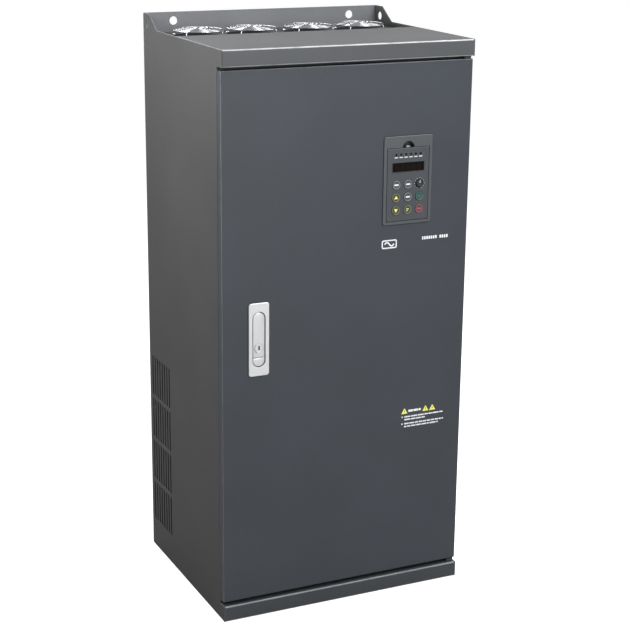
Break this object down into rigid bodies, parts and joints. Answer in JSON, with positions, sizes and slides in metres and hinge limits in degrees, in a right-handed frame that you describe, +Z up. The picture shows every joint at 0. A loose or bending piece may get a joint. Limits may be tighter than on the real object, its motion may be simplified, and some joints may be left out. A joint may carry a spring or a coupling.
{
  "type": "variable frequency drive",
  "caption": "Floor or wall standing variable frequency drive in a dark sheet-steel cabinet with a lockable door, a plug-in keypad and guarded fans on top.",
  "frame": {"origin": "centre of the footprint on the floor, under the middle of the cabinet", "axes": "+Z up, the door faces -Y, +X to the right when looking at the door"},
  "size_m": [0.5, 0.4, 1.1],
  "materials": {
    "powder_coat": "fine-texture satin powder coat",
    "powder_coat_top": "fine-texture satin powder coat",
    "powder_coat_door": "fine-texture satin powder coat",
    "zinc_steel": "zinc plated",
    "satin_chrome": "satin",
    "chrome_wire": "bright",
    "aluminium": "extruded",
    "black_plastic": "matt",
    "keypad_plastic": "fine texture",
    "display_lens": "gloss",
    "rubber": "matt",
    "key_grey": "matt",
    "key_olive": "matt",
    "key_green": "matt",
    "key_red": "matt",
    "board_green": "solder mask",
    "module_black": "moulded",
    "capacitor_sleeve": "shrink sleeve",
    "tinned_copper": "tinned",
    "choke_core": "varnished",
    "terminal_ivory": "moulded"
  },
  "bodies": {
    "cabinet": {"back_panel": "powder_coat_top", "side_panel_left": "powder_coat", "side_panel_right": "powder_coat", "top_cover": "powder_coat_top", "base_sill": "powder_coat", "gland_plate": "zinc_steel", "door_rail_upper": "powder_coat", "door_rail_lower": "powder_coat", "fan_deck": "zinc_steel", "mounting_plate": "zinc_steel", "heatsink": "aluminium", "igbt_module_1": "module_black", "igbt_module_2": "module_black", "igbt_module_3": "module_black", "rectifier_module": "module_black", "capacitor_bank": "capacitor_sleeve", "dc_busbar_minus": "tinned_copper", "dc_busbar_plus": "tinned_copper", "dc_choke": "choke_core", "driver_board": "board_green", "control_tray": "zinc_steel", "control_board": "board_green", "power_terminals": "terminal_ivory", "ground_bar": "tinned_copper", "hinge_upper_pin_plate": "zinc_steel", "hinge_lower_pin_plate": "zinc_steel", "fan_frame_1": "black_plastic", "fan_guard_1": "chrome_wire", "fan_frame_2": "black_plastic", "fan_guard_2": "chrome_wire", "fan_frame_3": "black_plastic", "fan_guard_3": "chrome_wire", "fan_frame_4": "black_plastic", "fan_guard_4": "chrome_wire"},
    "door": {"door_panel": "powder_coat_door", "door_gasket": "rubber", "door_stiffener": "powder_coat_door", "hinge_upper_block": "zinc_steel", "hinge_lower_block": "zinc_steel", "lock_plate": "satin_chrome", "keypad_tray": "keypad_plastic"},
    "lock_handle": {"lock_handle": "satin_chrome"},
    "lock_cylinder": {"lock_cylinder": "satin_chrome"},
    "lock_cam": {"lock_cam": "zinc_steel"},
    "lock_button": {"lock_button": "satin_chrome"},
    "keypad": {"keypad_body": "keypad_plastic", "keypad_display": "display_lens"},
    "speed_knob": {"speed_knob": "black_plastic"},
    "key_program": {"key_program": "key_grey"},
    "key_enter": {"key_enter": "key_grey"},
    "key_up": {"key_up": "key_olive"},
    "key_shift": {"key_shift": "key_grey"},
    "key_run": {"key_run": "key_green"},
    "key_down": {"key_down": "key_olive"},
    "key_jog": {"key_jog": "key_olive"},
    "key_stop": {"key_stop": "key_red"},
    "fan_rotor_1": {"fan_rotor_1": "black_plastic"},
    "fan_rotor_2": {"fan_rotor_2": "black_plastic"},
    "fan_rotor_3": {"fan_rotor_3": "black_plastic"},
    "fan_rotor_4": {"fan_rotor_4": "black_plastic"}
  },
  "joints": [
    {"name": "door_hinge", "type": "hinge", "parent": "cabinet", "child": "door", "pos_m": [0.244, -0.19, 0.5375], "axis": [0, 0, 1], "range_deg": [0, 120]},
    {"name": "lock_handle_flip", "type": "hinge", "parent": "door", "child": "lock_handle", "pos_m": [-0.1789, -0.1955, 0.5917], "axis": [-1, 0, 0], "range_deg": [0, 35]},
    {"name": "lock_key_turn", "type": "hinge", "parent": "lock_handle", "child": "lock_cylinder", "pos_m": [-0.1789, -0.1928, 0.5332], "axis": [0, -1, 0], "range_deg": [0, 90]},
    {"name": "lock_cam_turn", "type": "hinge", "parent": "door", "child": "lock_cam", "pos_m": [-0.1789, -0.173, 0.5332], "axis": [0, -1, 0], "range_deg": [0, 90]},
    {"name": "lock_button_press", "type": "slide", "parent": "door", "child": "lock_button", "axis": [0, 1, 0], "range_m": [0, 0.003], "stiffness_N_per_m": 400},
    {"name": "keypad_pull_out", "type": "slide", "parent": "door", "child": "keypad", "axis": [0, -1, 0], "range_m": [0, 0.024]},
    {"name": "press_program", "type": "slide", "parent": "keypad", "child": "key_program", "axis": [0, 1, 0], "range_m": [0, 0.0012], "stiffness_N_per_m": 250},
    {"name": "press_enter", "type": "slide", "parent": "keypad", "child": "key_enter", "axis": [0, 1, 0], "range_m": [0, 0.0012], "stiffness_N_per_m": 250},
    {"name": "press_up", "type": "slide", "parent": "keypad", "child": "key_up", "axis": [0, 1, 0], "range_m": [0, 0.0012], "stiffness_N_per_m": 250},
    {"name": "press_shift", "type": "slide", "parent": "keypad", "child": "key_shift", "axis": [0, 1, 0], "range_m": [0, 0.0012], "stiffness_N_per_m": 250},
    {"name": "press_run", "type": "slide", "parent": "keypad", "child": "key_run", "axis": [0, 1, 0], "range_m": [0, 0.0012], "stiffness_N_per_m": 250},
    {"name": "press_down", "type": "slide", "parent": "keypad", "child": "key_down", "axis": [0, 1, 0], "range_m": [0, 0.0012], "stiffness_N_per_m": 250},
    {"name": "press_jog", "type": "slide", "parent": "keypad", "child": "key_jog", "axis": [0, 1, 0], "range_m": [0, 0.0012], "stiffness_N_per_m": 250},
    {"name": "press_stop", "type": "slide", "parent": "keypad", "child": "key_stop", "axis": [0, 1, 0], "range_m": [0, 0.0012], "stiffness_N_per_m": 250},
    {"name": "speed_knob_turn", "type": "hinge", "parent": "keypad", "child": "speed_knob", "pos_m": [0.1433, -0.1966, 0.8127], "axis": [0, 1, 0], "range_deg": [-150, 150]},
    {"name": "rotor_1_spin", "type": "hinge", "parent": "cabinet", "child": "fan_rotor_1", "pos_m": [-0.1705, 0.116, 1.0407], "axis": [0, 0, 1], "continuous": true},
    {"name": "rotor_2_spin", "type": "hinge", "parent": "cabinet", "child": "fan_rotor_2", "pos_m": [-0.06, 0.116, 1.0407], "axis": [0, 0, 1], "continuous": true},
    {"name": "rotor_3_spin", "type": "hinge", "parent": "cabinet", "child": "fan_rotor_3", "pos_m": [0.06, 0.116, 1.0407], "axis": [0, 0, 1], "continuous": true},
    {"name": "rotor_4_spin", "type": "hinge", "parent": "cabinet", "child": "fan_rotor_4", "pos_m": [0.1705, 0.116, 1.0407], "axis": [0, 0, 1], "continuous": true}
  ],
  "couplings": [
    {"joint": "lock_cam_turn", "follows": "lock_key_turn", "ratio": 1}
  ]
}
